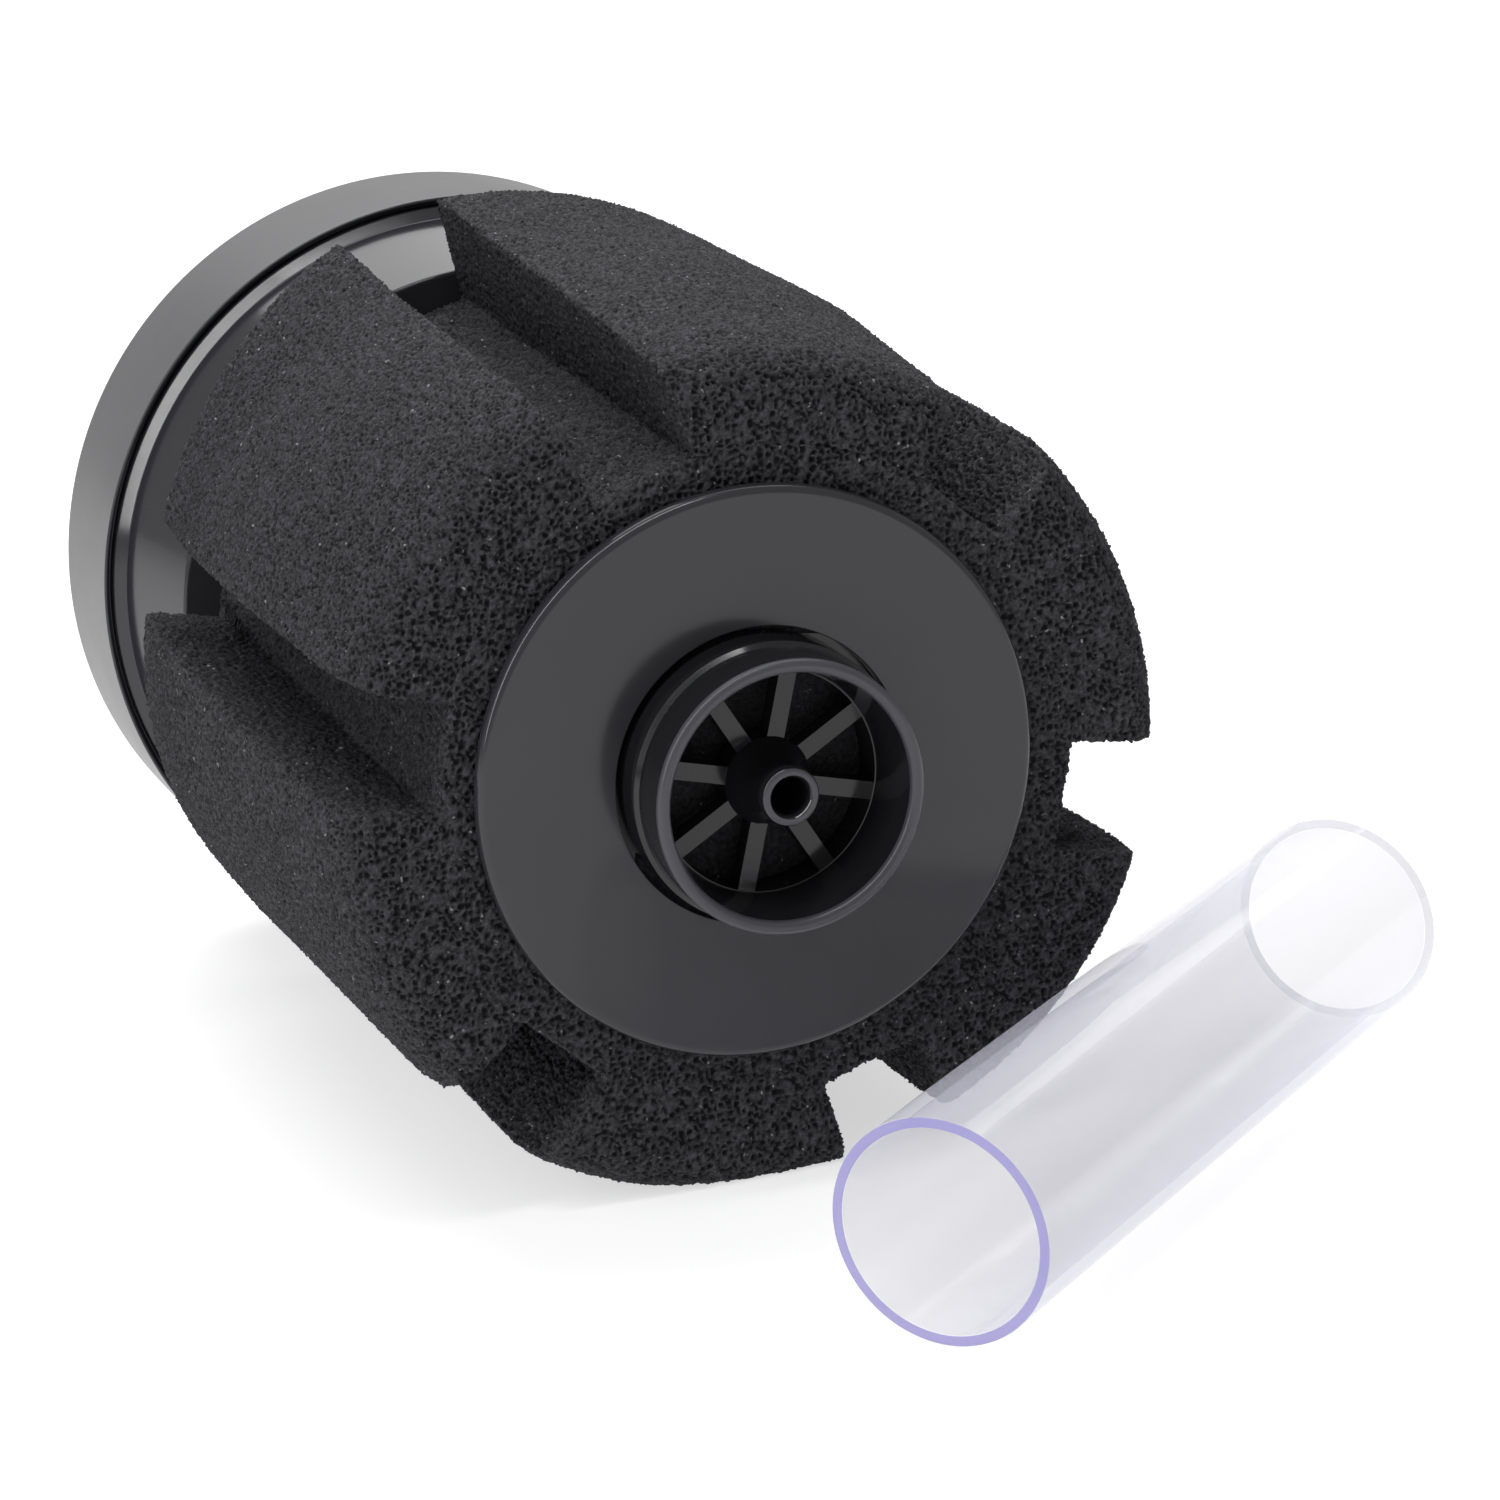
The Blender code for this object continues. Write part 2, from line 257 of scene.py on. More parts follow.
class Finish:
    """A material with one Principled shader."""

    def __init__(self, name, **sockets):
        self.material = bpy.data.materials.new(name)
        self.material.use_nodes = True
        self.tree = self.material.node_tree
        self.shader = self.tree.nodes["Principled BSDF"]
        self.set(**sockets)

    def feed(self, socket, value):
        if isinstance(value, Value):
            self.tree.links.new(value.socket, socket)
        else:
            socket.default_value = value

    def set(self, **sockets):
        """Set the shader's sockets, named with _ for each space: base_color feeds Base Color."""
        named = {socket.name.lower().replace(" ", "_"): socket for socket in self.shader.inputs}
        for name, value in sockets.items():
            self.feed(named[name], value)

    def node(self, kind, settings=None, sockets=None, output=0):
        made = self.tree.nodes.new(kind)
        for name, value in (settings or {}).items():
            if name == "stops":
                self.fill_ramp(made.color_ramp, value)
            else:
                setattr(made, name, value)
        for name, value in (sockets or {}).items():
            self.feed(made.inputs[name], value)
        return Value(self, made.outputs[output])

    def fill_ramp(self, ramp, stops):
        while len(ramp.elements) < len(stops):
            ramp.elements.new(1.0)
        for element, (place, level) in zip(ramp.elements, stops):
            element.position = place
            element.color = (level, level, level, 1.0)

    def place(self):
        """Object coordinates: metres, in the frame that every piece shares."""
        return self.node("ShaderNodeTexCoord", output="Object")

    def noise(self, grains_per_mm, detail=3.0, roughness=0.55, place=None):
        return self.node("ShaderNodeTexNoise", {"noise_dimensions": "3D"},
                         {"Vector": place or self.place(), "Scale": grains_per_mm / MM,
                          "Detail": detail, "Roughness": roughness}, output="Fac")

    def ramp(self, value, stops):
        """Map a value through grey stops, each (place, level)."""
        return self.node("ShaderNodeValToRGB", {"stops": stops}, {"Fac": value})

    def blend(self, mask, dark, light):
        """A colour between two, by a mask."""
        return self.node("ShaderNodeMix", {"data_type": "RGBA"},
                         {"Factor": mask, 6: (*dark, 1.0), 7: (*light, 1.0)}, output=2)

    def blend_in(self, mask, under, over):
        """A colour laid over another Value, where a mask allows it."""
        return self.node("ShaderNodeMix", {"data_type": "RGBA"},
                         {"Factor": mask, 6: under, 7: (*over, 1.0)}, output=2)

    def bump(self, height, strength, depth):
        """Feed the shader's Normal from a height pattern, depth metres deep."""
        normal = self.node("ShaderNodeBump", {}, {"Height": height, "Strength": strength,
                                                  "Distance": depth}, output="Normal")
        self.set(normal=normal)


# %% [markdown]
# ## Finishes
#
# The mouldings are glossy black styrene. It isn't a perfect mirror: the mould leaves a faint
# orange peel, and handling leaves a haze, so the roughness wanders and a very low bump is added.
# The base's side is a little duller, and the core is satin, because a slotted tube isn't polished.
# The socket's black is darkened, a painted shade, and the rims that tube and hose slide over are
# painted a lighter grey, a painted highlight.


# %% Black mouldings
def black_moulding(name, gloss, haze, peel, grey=1.0):
    """Black plastic: its lowest roughness, what wear adds, its bump's depth and how grey it is."""
    finish = Finish(name, ior=1.5, specular_ior_level=0.43)
    wear = finish.noise(0.06, detail=5.0)
    fine = finish.noise(0.9, detail=2.0)
    finish.set(base_color=finish.blend(wear, (0.024 * grey, 0.024 * grey, 0.028 * grey),
                                       (0.032 * grey, 0.032 * grey, 0.037 * grey)))
    finish.set(roughness=wear * haze + fine * (0.25 * haze) + gloss)
    finish.bump(finish.noise(0.35, detail=2.0), 0.35, peel)
    return finish.material


gloss_black = black_moulding("gloss_black", 0.07, 0.12, 0.02 * MM)
side_black = black_moulding("side_black", 0.26, 0.10, 0.02 * MM)
# The socket's black is darkened to paint the shade on the collar and spokes: painted shade.
socket_black = black_moulding("socket_black", 0.06, 0.10, 0.02 * MM, grey=0.4)
# A lighter grey painted on the collar's rim and the nipple's tip stands in for their highlights: a painted
# highlight.
rubbed_black = black_moulding("rubbed_black", 0.22, 0.15, 0.03 * MM, grey=1.9)
satin_black = black_moulding("satin_black", 0.3, 0.2, 0.05 * MM)


# %% [markdown]
# The ballast is a rough casting that nobody sees unless the base is opened. The lift tube is clear
# extruded acrylic. A line of sight crosses its wall four times, so each surface only covers a
# little of what is behind it. Light that enters the wall leaves at the sawn ends, which is why they
# look violet while the wall itself is almost without colour; that glow is painted into the ends'
# colour, a painted glow. The far end is given a weaker painted glow than the near end.


# %% Cast iron and clear acrylic
def cast_iron():
    finish = Finish("ballast_iron", metallic=0.7)
    grain = finish.noise(1.2, detail=6.0)
    finish.set(base_color=finish.blend(grain, (0.09, 0.085, 0.08), (0.2, 0.19, 0.18)))
    finish.set(roughness=0.55 + 0.3 * grain)
    finish.bump(grain, 0.6, 0.2 * MM)
    return finish.material


def clear_acrylic(name, tint, cover, gloss, edge_cover=0.0):
    """Clear plastic that hides this share of what is behind each of its surfaces.

    Towards its outline the eye looks along the wall, so more of its own violet colour shows.
    """
    finish = Finish(name, ior=1.49, specular_ior_level=0.8)
    along = finish.node("ShaderNodeLayerWeight", {}, {"Blend": 0.3}, output="Facing")
    along = along * along
    streaks = finish.noise(0.05, detail=3.0)
    violet = (0.80 * tint[0], 0.78 * tint[1], tint[2])
    finish.set(base_color=finish.blend(along, tint, violet))
    finish.set(roughness=streaks * 0.06 + gloss)
    finish.set(alpha=along * edge_cover + cover)
    return finish.material


iron = cast_iron()
tube_wall = clear_acrylic("clear_tube", (0.68, 0.675, 0.74), 0.18, 0.04, edge_cover=0.5)
# The violet of the sawn ends is a painted glow; the far end's is weaker.
tube_end_painted_glow = clear_acrylic("clear_tube_sawn_end", (0.28, 0.255, 0.59), 0.85, 0.2)
tube_far_end_painted_glow = clear_acrylic("clear_tube_fine_end", (0.45, 0.44, 0.58), 0.4, 0.1)


# %% [markdown]
# The foam's colour follows its cells. Each vertex carries a number, `open_cell`, from 0 on a strut
# to 1 at the bottom of a pore, which the modelling step below stores on the mesh. Pores swallow the
# light, and that shade is painted in: they are painted nearly black, a painted shade, and the struts
# are a charcoal that catches the light.


# %% Charcoal foam
def charcoal_foam():
    finish = Finish("charcoal_foam", ior=1.45, specular_ior_level=0.15)
    pore = finish.node("ShaderNodeAttribute", {"attribute_name": "open_cell"}, output="Fac")
    cloud = finish.noise(0.03, detail=2.0)
    strut = finish.noise(1.7, detail=3.0, roughness=0.75)
    # Painted highlights: rare bright specks of this noise are painted onto the struts as glints.
    painted_glint = finish.ramp(finish.noise(1.3, detail=1.0), [(0.73, 0.0), (0.78, 1.0)])
    light = finish.ramp(strut, [(0.38, 0.0), (0.66, 1.0)])
    # Painted shade: the colour darkens towards the bottom of each pore, and struts keep the charcoal.
    depth = finish.ramp(pore + (cloud - 0.5) * 0.3, [(0.1, 1.0), (0.75, 0.0)])
    charcoal = finish.blend(depth * (0.3 + 0.7 * light), (0.009, 0.009, 0.010),
                            (0.065, 0.064, 0.072))
    # The painted highlight specks are laid over the charcoal, only on the struts.
    finish.set(base_color=finish.blend_in(painted_glint * depth, charcoal, (0.26, 0.26, 0.27)))
    finish.set(roughness=0.9 - 0.25 * light)
    finish.bump(strut, 0.8, 0.3 * MM)
    return finish.material


foam = charcoal_foam()

# %% [markdown]
# ## The base
#
# The base is a drum with a thin lip. Inside the lip a narrow dark gap parts it from a pedestal, which
# starts with a chamfer and tapers to a flat shoulder for the sponge. A ring on the shoulder holds
# the core's foot. The drum is open below, for the ballast and its cover.

# %% Base shell
RIM = 20.8 * MM
LIP = 0.55 * MM
WALL = 2.4 * MM
CHAMFER_RISE = 1.2 * MM
CHAMFER_RUN = 1.35 * MM
GAP_FLOOR = RIM - 1.9 * MM
FOOT_RADIUS = BASE_RADIUS - 1.2 * MM
SHOULDER_RADIUS = 42.4 * MM
SPIGOT_RADIUS = CORE_RADIUS - 2.3 * MM
SPIGOT_INNER = SPIGOT_RADIUS - 2.2 * MM
SHOULDER = CORE_FOOT - GAP
ROUND_SIDES = 192


def base_outline():
    outline = [(0.0, SHOULDER), (SPIGOT_INNER, SHOULDER), (SPIGOT_INNER, SPIGOT_TOP),
               (SPIGOT_RADIUS, SPIGOT_TOP), (SPIGOT_RADIUS, SHOULDER)]
    outline += arc((SHOULDER_RADIUS - 0.6 * MM, SHOULDER - 0.6 * MM), 0.6 * MM, 90, 15, 4)
    outline += [(FOOT_RADIUS - CHAMFER_RUN, RIM + CHAMFER_RISE), (FOOT_RADIUS, RIM),
                (FOOT_RADIUS, GAP_FLOOR), (BASE_RADIUS - LIP, GAP_FLOOR)]
    outline += arc((BASE_RADIUS - LIP / 2, RIM - LIP / 2), LIP / 2, 180, 0, 8)
    inner = BASE_RADIUS - WALL
    outline += [(BASE_RADIUS, 0.0), (inner, 0.0), (inner, RIM - 3.6 * MM),
                (FOOT_RADIUS - WALL - 0.3 * MM, RIM - 0.9 * MM), (SHOULDER_RADIUS - WALL, SHOULDER - WALL),
                (0.0, SHOULDER - WALL)]
    return outline


def make_base():
    piece = turned("base_moulding", base_outline(), ROUND_SIDES)
    soften_edges(piece, 0.15 * MM)
    piece.data.materials.append(gloss_black)
    piece.data.materials.append(side_black)
    for face in piece.data.polygons:
        at_side = math.hypot(face.center.x, face.center.y) > BASE_RADIUS - 0.1 * MM
        face.material_index = int(at_side)
    lay_down(piece)
    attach(piece, "base")
    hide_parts("base_shell")
    print(piece.name, triangles(piece), "triangles")


make_base()

# %% [markdown]
# ## The bottom cover
#
# The cover is a disc pressed into the drum. A raised ring near its edge is the face that stands on
# the floor of the tank, and a shallow dish inside it keeps the disc from rocking. A small round
# mark in the middle is where the plastic entered the mould.

# %% Bottom cover
COVER_RADIUS = radius_of("base_bottom_cover")
COVER_TOP = heights_of("base_bottom_cover")[1]


def make_cover():
    dish = 0.35 * MM
    outline = [(0.0, 0.2 * MM), (2.0 * MM, 0.2 * MM), (2.3 * MM, dish), (15.0 * MM, dish),
               (15.6 * MM, 0.0), (26.0 * MM, 0.0), (26.6 * MM, dish), (34.0 * MM, dish),
               (34.6 * MM, 0.0), (COVER_RADIUS, 0.0), (COVER_RADIUS, COVER_TOP), (0.0, COVER_TOP)]
    piece = turned("bottom_cover", outline, ROUND_SIDES)
    soften_edges(piece, 0.2 * MM, angle=25.0)
    lay_down(piece)
    piece.data.materials.append(gloss_black)
    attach(piece, "base")
    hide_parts("base_bottom_cover")
    print(piece.name, triangles(piece), "triangles")


make_cover()

# %% [markdown]
# ## The core
#
# The core is a tube with rows of slots. It holds the foam off the water's path and shows when the
# base is drawn out. The slots are cut with round-ended blocks: a block with its short edges rounded
# off, copied round the tube in rows.

# %% Core cage
SLOT_COLUMNS = 10
SLOT_ROWS = 3
SLOT_WIDTH = 4.2 * MM
SLOT_LENGTH = 17.0 * MM
SLOT_PITCH = 20.0 * MM
LOWEST_SLOT = CORE_FOOT + 12.4 * MM
CORE_WALL = 2.0 * MM


def slot_cutters():
    """All the blocks that cut the slots, joined into one tool."""
    blocks = []
    for row, column in itertools.product(range(SLOT_ROWS), range(SLOT_COLUMNS)):
        height = LOWEST_SLOT + SLOT_LENGTH / 2 + row * SLOT_PITCH
        blocks.append(box("slot", (CORE_RADIUS - CORE_WALL / 2, 0.0, height),
                          (3 * CORE_WALL, SLOT_WIDTH, SLOT_LENGTH),
                          math.tau * (column + 0.5) / SLOT_COLUMNS))
    bpy.ops.object.select_all(action="DESELECT")
    for block in blocks:
        block.select_set(True)
    bpy.context.view_layer.objects.active = blocks[0]
    bpy.ops.object.join()
    tool = bpy.context.object
    radial_edges = []
    for edge in tool.data.edges:
        ends = [tool.data.vertices[index].co for index in edge.vertices]
        run = (ends[1] - ends[0]).normalized()
        outward = Vector((ends[0].x, ends[0].y, 0.0)).normalized()
        radial_edges.append(abs(run.dot(outward)) > 0.8)
    tool.data.attributes.new("bevel_weight_edge", "FLOAT", "EDGE")
    tool.data.attributes["bevel_weight_edge"].data.foreach_set("value", np.array(radial_edges, float))
    step = tool.modifiers.new("round ends", "BEVEL")
    step.limit_method = "WEIGHT"
    step.width = 1.6 * MM
    step.segments = 5
    apply_modifiers(tool)
    return tool


def make_core():
    outline = [(CORE_RADIUS - CORE_WALL, CORE_FOOT), (CORE_RADIUS, CORE_FOOT),
               (CORE_RADIUS, CORE_TOP), (CORE_RADIUS - CORE_WALL, CORE_TOP)]
    piece = turned("core_tube", outline, 120)
    cut(piece, slot_cutters())
    soften_edges(piece, 0.2 * MM, segments=2, angle=40.0)
    lay_down(piece)
    piece.data.materials.append(satin_black)
    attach(piece, "base")
    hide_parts("core_cage")
    print(piece.name, triangles(piece), "triangles")


make_core()

# %% [markdown]
# ## The top plate
#
# The plate is a flat disc with a full round edge. Its hole is a little wider than the collar, so a
# thin dark ring parts the two.

# %% Top plate
HOLE_RADIUS = 17.0 * MM
EDGE_ROUND = 1.0 * MM


def make_plate():
    outline = [(HOLE_RADIUS, PLATE_BACK)]
    outline += arc((PLATE_RADIUS - EDGE_ROUND, PLATE_BACK + EDGE_ROUND), EDGE_ROUND, -90, 0, 6)
    outline += arc((PLATE_RADIUS - EDGE_ROUND, PLATE_FACE - EDGE_ROUND), EDGE_ROUND, 0, 90, 6)
    outline += [(HOLE_RADIUS, PLATE_FACE)]
    piece = turned("plate_moulding", outline, ROUND_SIDES)
    soften_edges(piece, 0.15 * MM)
    lay_down(piece)
    piece.data.materials.append(gloss_black)
    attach(piece, "cap")
    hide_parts("top_plate")
    print(piece.name, triangles(piece), "triangles")


make_plate()

# %% [markdown]
# ## The lift tube's socket
#
# One moulding does three jobs. Above the plate it is a collar that the lift tube pushes into, below
# the plate a plug that fits the core, and between them eight spokes carry a hub with the nipple
# for the air hose. The collar, the spokes and the hub are made apart and joined into one solid.

# %% Socket
COLLAR_RADIUS = 15.6 * MM
BAND_RADIUS = 16.1 * MM
BAND_TOP = PLATE_FACE + 3.3 * MM
BORE_RADIUS = 12.9 * MM
PASSAGE_RADIUS = 12.75 * MM
SEAT = PLATE_FACE + 2.0 * MM
SPOKES = 8
SPOKE_TURN = math.radians(-15.0)
SPOKE_WIDTH = 2.05 * MM
SPOKE_DEPTH = 2.6 * MM
HUB_RADIUS = 5.0 * MM
NIPPLE_RADIUS = 3.4 * MM
NIPPLE_BORE = 2.2 * MM
NIPPLE_TOP = SOCKET_RIM - 0.6 * MM
# How far below the rim's top the painted highlight reaches.
RIM_HIGHLIGHT_DEPTH = 0.15 * MM


def collar():
    plug = CORE_RADIUS - CORE_WALL - GAP
    flange = (CORE_TOP + GAP, PLATE_BACK - GAP)
    round_rim = 0.8 * MM
    outline = [(PASSAGE_RADIUS, PLUG_BOTTOM), (plug, PLUG_BOTTOM), (plug, flange[0]),
               (CORE_RADIUS, flange[0]), (CORE_RADIUS, flange[1]), (BAND_RADIUS, flange[1]),
               (BAND_RADIUS, BAND_TOP), (COLLAR_RADIUS, BAND_TOP + 0.4 * MM)]
    outline += arc((COLLAR_RADIUS - round_rim, SOCKET_RIM - round_rim), round_rim, 0, 180, 12)
    outline += [(BORE_RADIUS, SEAT), (PASSAGE_RADIUS, SEAT)]
    return turned("socket_moulding", outline, ROUND_SIDES)


def hub():
    low = SEAT - SPOKE_DEPTH - 2.4 * MM
    neck = NIPPLE_RADIUS - 0.6 * MM
    outline = [(NIPPLE_BORE, low), (HUB_RADIUS - 0.8 * MM, low), (HUB_RADIUS, low + MM),
               (HUB_RADIUS, SEAT), (HUB_RADIUS - 0.5 * MM, SEAT + 0.7 * MM),
               (HUB_RADIUS - 1.4 * MM, SEAT + 2.2 * MM), (neck, NIPPLE_TOP - 2.6 * MM)]
    outline += arc((NIPPLE_RADIUS - 0.7 * MM, NIPPLE_TOP - 1.1 * MM), 0.7 * MM, -45, 45, 4)
    outline += arc((NIPPLE_RADIUS - 0.6 * MM, NIPPLE_TOP - 0.6 * MM), 0.6 * MM, 30, 100, 4)
    outline += [(NIPPLE_BORE + 0.3 * MM, NIPPLE_TOP), (NIPPLE_BORE, NIPPLE_TOP - 0.4 * MM)]
    return turned("hub", outline, 64)


def make_socket():
    piece = collar()
    outer = PASSAGE_RADIUS + 0.25 * MM
    inner = 0.6 * HUB_RADIUS
    for index in range(SPOKES):
        spoke = box("spoke", ((outer + inner) / 2, 0.0, SEAT - SPOKE_DEPTH / 2 - 0.05 * MM),
                    (outer - inner, SPOKE_WIDTH, SPOKE_DEPTH), SPOKE_TURN + math.tau * index / SPOKES)
        cut(piece, spoke, "UNION")
    cut(piece, hub(), "UNION")
    soften_edges(piece, 0.15 * MM, segments=2, angle=30.0)
    # The socket's darker black is painted shade.
    piece.data.materials.append(socket_black)
    piece.data.materials.append(rubbed_black)
    # Faces at the collar's rim and the nipple's tip get the lighter grey of the painted highlight.
    for face in piece.data.polygons:
        face.material_index = int(face.center.z > NIPPLE_TOP - RIM_HIGHLIGHT_DEPTH)
    lay_down(piece)
    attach(piece, "cap")
    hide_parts("lift_tube_socket")
    print(piece.name, triangles(piece), "triangles")


make_socket()

# %% [markdown]
# ## The lift tube
#
# The tube is sawn from extruded stock: a true cylinder with flat ends whose corners are just broken.
# It lies on the floor at an angle, square to the direction in which its joint lets it roll, and its
# length follows from its packed box. Its two end faces get finishes of their own.

# %% Lift tube
TUBE_WALL = 1.25 * MM


def make_tube():
    low, high = (Vector(corner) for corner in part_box("lift_tube"))
    roll = next(joint for joint in frame["joints"] if joint["name"] == "lift_tube_roll")
    across = Vector(roll["axis"])
    along = Vector((-across.y, across.x, 0.0))
    radius = (high.z - low.z) / 2
    length = (high.x - low.x - 2 * radius * abs(across.x)) / abs(along.x)
    outline = [(radius - TUBE_WALL, -length / 2), (radius, -length / 2),
               (radius, length / 2), (radius - TUBE_WALL, length / 2)]
    piece = turned("clear_lift_tube", outline, ROUND_SIDES)
    soften_edges(piece, 0.15 * MM, segments=3)
    piece.data.materials.append(tube_wall)
    piece.data.materials.append(tube_end_painted_glow)
    piece.data.materials.append(tube_far_end_painted_glow)
    # The end faces get the painted glow, weaker at the far end.
    for face in piece.data.polygons:
        if abs(face.normal.z) > 0.9:
            face.material_index = 1 if face.normal.z < 0.0 else 2
    piece.rotation_euler = (0.0, math.pi / 2, math.atan2(along.y, along.x))
    piece.location = (low + high) / 2
    apply_place(piece)
    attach(piece, "lift_tube")
    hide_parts("lift_tube")
    print(piece.name, "%.1f mm long" % (length / MM), triangles(piece), "triangles")


make_tube()

# %% [markdown]
# ## The foam block
#
# The sponge is sawn foam: a round block with a hole for the core and six grooves that give it more
# surface. It is cut the same way here, from a cylinder with a rounded front shoulder. A voxel
# remesh then lays an even grid of small faces over it, fine enough to carry the foam's cells.

# %% Cut the block
FOAM_VOXEL = 0.31 * MM
GROOVES = 6
GROOVE_TURN = math.radians(-12.5)
GROOVE_FLOOR = 37.2 * MM
GROOVE_WIDTH = 12.8 * MM
GROOVE_FLARE = 1.12
BORE = CORE_RADIUS + 0.6 * MM


def faces_where(piece, test):
    """Select, in edit mode, only the faces whose centre passes a test."""
    select_only(piece)
    bpy.ops.object.mode_set(mode="EDIT")
    bpy.ops.mesh.select_all(action="DESELECT")
    bpy.ops.object.mode_set(mode="OBJECT")
    for face in piece.data.polygons:
        face.select = test(face.center)
    bpy.ops.object.mode_set(mode="EDIT")


def groove_cutter(index):
    depth = 24.0 * MM
    angle = GROOVE_TURN + math.tau * index / GROOVES
    cutter = box("groove", (0.0, 0.0, 0.0), (depth, GROOVE_WIDTH, 3 * (SPONGE_TOP - SPONGE_FOOT)))
    faces_where(cutter, lambda centre: centre.x > depth / 4)
    bpy.ops.mesh.select_mode(type="FACE")
    bpy.ops.transform.resize(value=(1.0, GROOVE_FLARE ** 1.6, 1.0))
    bpy.ops.object.mode_set(mode="OBJECT")
    swing = Matrix.Rotation(angle, 3, "Z")
    cutter.location = swing @ Vector((GROOVE_FLOOR + depth / 2, 0.0, (SPONGE_TOP + SPONGE_FOOT) / 2))
    cutter.rotation_euler.z = angle
    apply_place(cutter)
    return cutter


def foam_block():
    shoulder = [(0.0, SPONGE_TOP), (LOBE_RADIUS - 4.4 * MM, SPONGE_TOP)]
    shoulder += [(LOBE_RADIUS - 2.2 * MM, SPONGE_TOP - 1.6 * MM), (LOBE_RADIUS - 0.7 * MM, SPONGE_TOP - 5.0 * MM),
                 (LOBE_RADIUS, SPONGE_TOP - 11.0 * MM)]
    shoulder += [(LOBE_RADIUS, SPONGE_FOOT + MM), (LOBE_RADIUS - MM, SPONGE_FOOT), (0.0, SPONGE_FOOT)]
    block = turned("foam_sponge", shoulder, 120)
    for index in range(GROOVES):
        cut(block, groove_cutter(index))
    hole = turned("bore", [(0.0, 0.0), (BORE, 0.0), (BORE, 2 * SPONGE_TOP), (0.0, 2 * SPONGE_TOP)], 96)
    cut(block, hole)
    grid = block.modifiers.new("even grid", "REMESH")
    grid.mode = "VOXEL"
    grid.voxel_size = FOAM_VOXEL
    soften = block.modifiers.new("worn corners", "SMOOTH")
    soften.factor = 0.5
    soften.iterations = 5
    apply_modifiers(block)
    return block


sponge = foam_block()
print("foam grid:", len(sponge.data.vertices), "vertices")

# %% [markdown]
# ## Lived-in shape
#
# Foam is never true. Lying on its side the block sags a little, the lobes end unevenly at the
# base, the front shoulders are rubbed down, and the lowest lobe is pressed flat on the floor. The
# vertices are moved by smooth functions of their angle round the axis and their height.


# %% Push the block out of true
def smooth_step(value, start, end):
    share = np.clip((value - start) / (end - start), 0.0, 1.0)
    return share * share * (3.0 - 2.0 * share)


def degrees_past(angle, centre):
    """How far an angle round the axis is past a centre, in degrees, from -180 to 180."""
    return (np.degrees(angle) - centre + 180.0) % 360.0 - 180.0


def near_angle(angle, centre, flat, width):
    """1 within a flat stretch round a centre, in degrees, falling to 0 at a width to either side."""
    return 1.0 - smooth_step(np.abs(degrees_past(angle, centre)), flat, width)


def mesh_points(piece):
    points = np.empty(3 * len(piece.data.vertices))
    piece.data.vertices.foreach_get("co", points)
    return points.reshape(-1, 3)


def set_mesh_points(piece, points):
    piece.data.vertices.foreach_set("co", points.ravel())
    piece.data.update()


# Each lobe: its middle's angle, how far its end stands off the base there, how much further for
# each degree past the middle, and how much its front is worn.
LOBES = [(17.5, 1.0 * MM, 0.0, 0.3 * MM), (77.5, -1.0 * MM, 0.0, 2.2 * MM),
         (137.5, 6.7 * MM, 0.26 * MM, 0.6 * MM), (197.5, 8.0 * MM, -0.18 * MM, 0.9 * MM),
         (257.5, 2.0 * MM, 0.0, 0.0), (317.5, 2.0 * MM, 0.0, 0.0)]
FOOT_TWIST = math.radians(3.5)
STIFF_WALL = 157.0


def out_of_true(points):
    x, y, z = points.T.copy()
    radius = np.hypot(x, y)
    angle = np.arctan2(y, x)
    outer = smooth_step(radius, GROOVE_FLOOR, GROOVE_FLOOR + 3.5 * MM)
    foot = 1.0 - smooth_step(z, SPONGE_FOOT, SPONGE_FOOT + 30.0 * MM)
    front = smooth_step(z, SPONGE_TOP - 45.0 * MM, SPONGE_TOP)
    far_end = 1.0 - smooth_step(z, SPONGE_FOOT, SPONGE_TOP)
    for middle_angle, stand_off, slant, wear in LOBES:
        lobe = near_angle(angle, middle_angle, 23.0, 30.0) * outer
        z += (stand_off + slant * degrees_past(angle, middle_angle)) * lobe * foot
        radius = radius - wear * lobe * front
    angle = angle - FOOT_TWIST * far_end * (1.0 - 0.85 * near_angle(angle, STIFF_WALL, 3.0, 16.0))
    sway = 0.35 * MM * np.sin(3.0 * angle + z / (14.0 * MM)) * outer
    x = (radius + sway) * np.cos(angle)
    y = (radius + sway) * np.sin(angle)
    free = smooth_step(radius, CORE_RADIUS, GROOVE_FLOOR)
    x += 1.1 * MM * free * front
    y += free * (1.0 * MM * foot - 1.3 * MM * front)
    return np.stack([x, y, z], axis=1)


shaped = out_of_true(mesh_points(sponge))
set_mesh_points(sponge, shaped)

# %% [markdown]
# ## Open cells
#
# Under a lens the foam is a net of struts round open pores a millimetre wide. Points are scattered
# one to a cell of a grid, and each vertex is measured against its two nearest: where the two are
# equally far it lies on a strut, and near a single one it is over a pore and sinks in. Sawn faces
# show bigger, deeper pores than the outer skin.


# %% Cells from scattered points
def scatter(cell, seed):
    """A repeatable random point in each grid cell, from its whole-number place."""
    mixed = cell[:, 0] * 73856093 ^ cell[:, 1] * 19349663 ^ cell[:, 2] * 83492791 ^ seed
    parts = []
    for factor in (2654435761, 2246822519, 3266489917):
        value = mixed * factor & 0xFFFFFFFF
        value = (value ^ value >> 15) * 2246822519 & 0xFFFFFFFF
        parts.append((value >> 8 & 0xFFFF) / 65535.0)
    return np.stack(parts, axis=1)


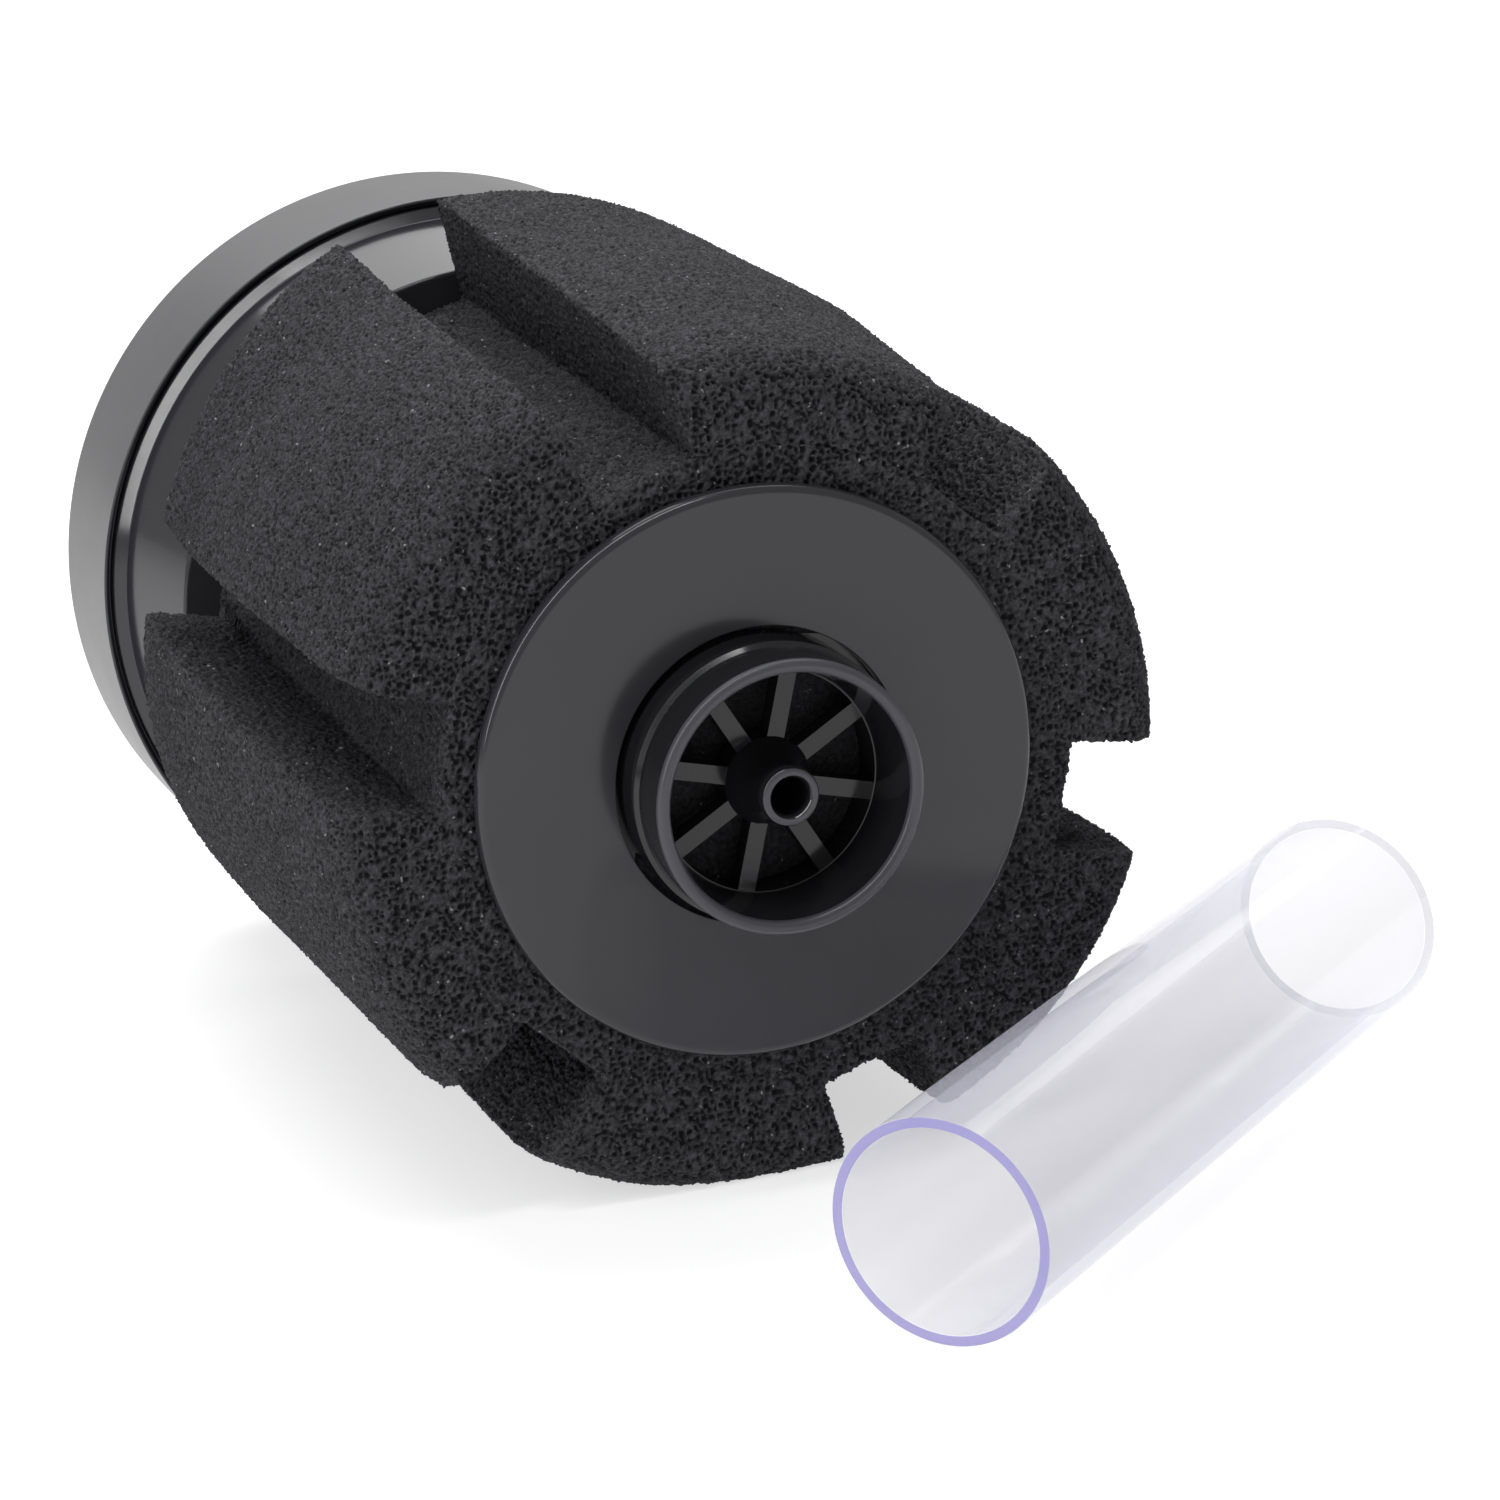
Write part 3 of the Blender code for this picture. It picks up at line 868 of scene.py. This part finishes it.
def pore_depth(points, pore, seed):
    """0 on a strut and 1 over the middle of a pore, for pores of this size."""
    grid = np.floor(points / pore).astype(np.int64)
    nearest = np.full(len(points), np.inf)
    second = nearest.copy()
    for offset in itertools.product((-1, 0, 1), repeat=3):
        cell = grid + np.array(offset)
        away = np.linalg.norm(points / pore - cell - scatter(cell, seed), axis=1)
        second = np.minimum(second, np.maximum(nearest, away))
        nearest = np.minimum(nearest, away)
    return smooth_step(second - nearest, 0.05, 0.5)


def open_cells(piece):
    points = mesh_points(piece)
    normals = np.empty(3 * len(points))
    piece.data.vertices.foreach_get("normal", normals)
    normals = normals.reshape(-1, 3)
    radius = np.hypot(points[:, 0], points[:, 1])
    outward = (normals[:, 0] * points[:, 0] + normals[:, 1] * points[:, 1]) / radius
    skin = smooth_step(outward, 0.6, 0.9) * smooth_step(radius, 45.0 * MM, 47.0 * MM)
    sawn_pores = pore_depth(points, 0.76 * MM, 11)
    skin_pores = pore_depth(points, 0.68 * MM, 5)
    pores = skin * 0.9 * skin_pores + (1.0 - skin) * sawn_pores
    fuzz = np.random.default_rng(3).normal(0.0, 0.09 * MM, len(points))
    sink = (0.5 * MM - 0.2 * MM * skin) * pores - 0.15 * MM + fuzz
    points = points - normals * sink[:, None]
    radius = np.hypot(points[:, 0], points[:, 1])
    clear = np.where(radius < CORE_RADIUS + 0.35 * MM, (CORE_RADIUS + 0.35 * MM) / radius, 1.0)
    points[:, :2] *= clear[:, None]
    points[:, 1] = np.maximum(points[:, 1], -AXIS_Z)
    points[:, 2] = np.minimum(points[:, 2], PLATE_BACK - 0.1 * MM)
    points[:, 2] = np.maximum(points[:, 2], SHOULDER + 0.1 * MM)
    set_mesh_points(piece, points)
    mark = piece.data.attributes.new("open_cell", "FLOAT", "POINT")
    mark.data.foreach_set("value", pores.astype(np.float32))


open_cells(sponge)
sponge.data.shade_smooth()
lay_down(sponge)
sponge.data.materials.append(foam)
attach(sponge, "sponge")
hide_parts("sponge")
print(sponge.name, triangles(sponge), "triangles")

# %% [markdown]
# ## The ballast
#
# The ballast ring is closed in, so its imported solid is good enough: it only gets its finish.

# %% Ballast finish
ballast = frame["nodes"]["ballast_ring"]
ballast.data.materials.clear()
ballast.data.materials.append(iron)

# %% [markdown]
# ## Floor, light and camera
#
# The filter lies on a light table, which fills its shadows. A white world is brightest behind it,
# one large soft box above gives the lobes their lighter tops, and an arch of narrow strips from the
# left to the top draws the thin bright lines on the chamfer and the collar. The camera has a long
# lens and stands well back, a little to the filter's left and above it, with a slight tilt.


# %% Floor
def make_floor():
    bpy.ops.object.select_all(action="DESELECT")
    bpy.ops.mesh.primitive_plane_add(size=20.0, location=(0.0, 0.0, -0.05 * MM))
    floor = bpy.context.object
    floor.name = "studio_floor"
    paper = Finish("white_light_table", base_color=(0.55, 0.55, 0.55, 1.0), specular_ior_level=0.1,
                   emission_color=(1.0, 1.0, 1.0, 1.0), emission_strength=0.6)
    paper.set(roughness=0.85 + 0.1 * paper.noise(0.02))
    floor.data.materials.append(paper.material)


make_floor()


# %% Light
def soft_box(name, place, target, size, radiance):
    """A rectangle of light, as bright as this all over."""
    data = bpy.data.lights.new(name, "AREA")
    data.shape = "RECTANGLE"
    data.size, data.size_y = size
    data.energy = radiance * math.pi * size[0] * size[1]
    lamp = bpy.data.objects.new(name, data)
    lamp.location = place
    lamp.rotation_euler = (Vector(target) - Vector(place)).to_track_quat("-Z", "Y").to_euler()
    bpy.context.scene.collection.objects.link(lamp)


# Each strip of the arch: how far up from the left it stands, in degrees, its length and radiance.
ARCH_STRIPS = [(21.0, 0.5, 12.0), (52.0, 0.45, 12.0), (83.0, 0.45, 14.0)]
ARCH_RADIUS = 0.85
ARCH_Y = -0.265
ARCH_WIDTH = 0.09


def light_arch():
    """Narrow strips in an arch round the filter's axis, all facing it."""
    axis = Vector((AXIS_X, ARCH_Y, AXIS_Z))
    for up, length, radiance in ARCH_STRIPS:
        away = Matrix.Rotation(math.radians(up), 3, "Y") @ Vector((-ARCH_RADIUS, 0.0, 0.0))
        soft_box("arch_strip", axis + away, axis, (ARCH_WIDTH, length), radiance)


def white_studio():
    """Dim in front, and bright where the backdrop is."""
    world = bpy.data.worlds.new("white_studio")
    world.use_nodes = True
    tree = world.node_tree
    direction = tree.nodes.new("ShaderNodeTexCoord")
    split = tree.nodes.new("ShaderNodeSeparateXYZ")
    tree.links.new(direction.outputs["Generated"], split.inputs["Vector"])
    level = tree.nodes.new("ShaderNodeMapRange")
    level.interpolation_type = "SMOOTHSTEP"
    for name, value in {"From Min": 0.65, "From Max": 1.0, "To Min": 0.35, "To Max": 1.0}.items():
        level.inputs[name].default_value = value
    tree.links.new(split.outputs["Y"], level.inputs["Value"])
    tree.links.new(level.outputs["Result"], tree.nodes["Background"].inputs["Strength"])
    tree.nodes["Background"].inputs["Color"].default_value = (1.0, 1.0, 1.0, 1.0)
    bpy.context.scene.world = world


white_studio()
soft_box("top_box", (0.15, 0.58, 0.95), (0.0, 0.0, 0.05), (1.3, 1.1), 2.7)
light_arch()
bpy.context.scene.view_settings.view_transform = "Standard"

# %% Camera
LENS = 116.0
AZIMUTH = math.radians(-19.5)
ELEVATION = math.radians(16.8)
TILT = math.radians(-3.7)


def make_camera():
    plate = Vector((AXIS_X, UNDERSIDE_Y - PLATE_FACE, AXIS_Z))
    data = bpy.data.cameras.new("camera")
    data.lens = LENS
    data.sensor_width = 36.0
    data.clip_start = 0.01
    camera = bpy.data.objects.new("camera", data)
    aim = (Matrix.Rotation(AZIMUTH, 4, "Z") @ Matrix.Rotation(math.pi / 2 - ELEVATION, 4, "X")
           @ Matrix.Rotation(TILT, 4, "Z"))
    place = plate + Vector((-5.232, -14.678, 4.797)) * PLATE_RADIUS
    camera.matrix_world = Matrix.Translation(place) @ aim
    bpy.context.scene.collection.objects.link(camera)
    bpy.context.scene.camera = camera


make_camera()
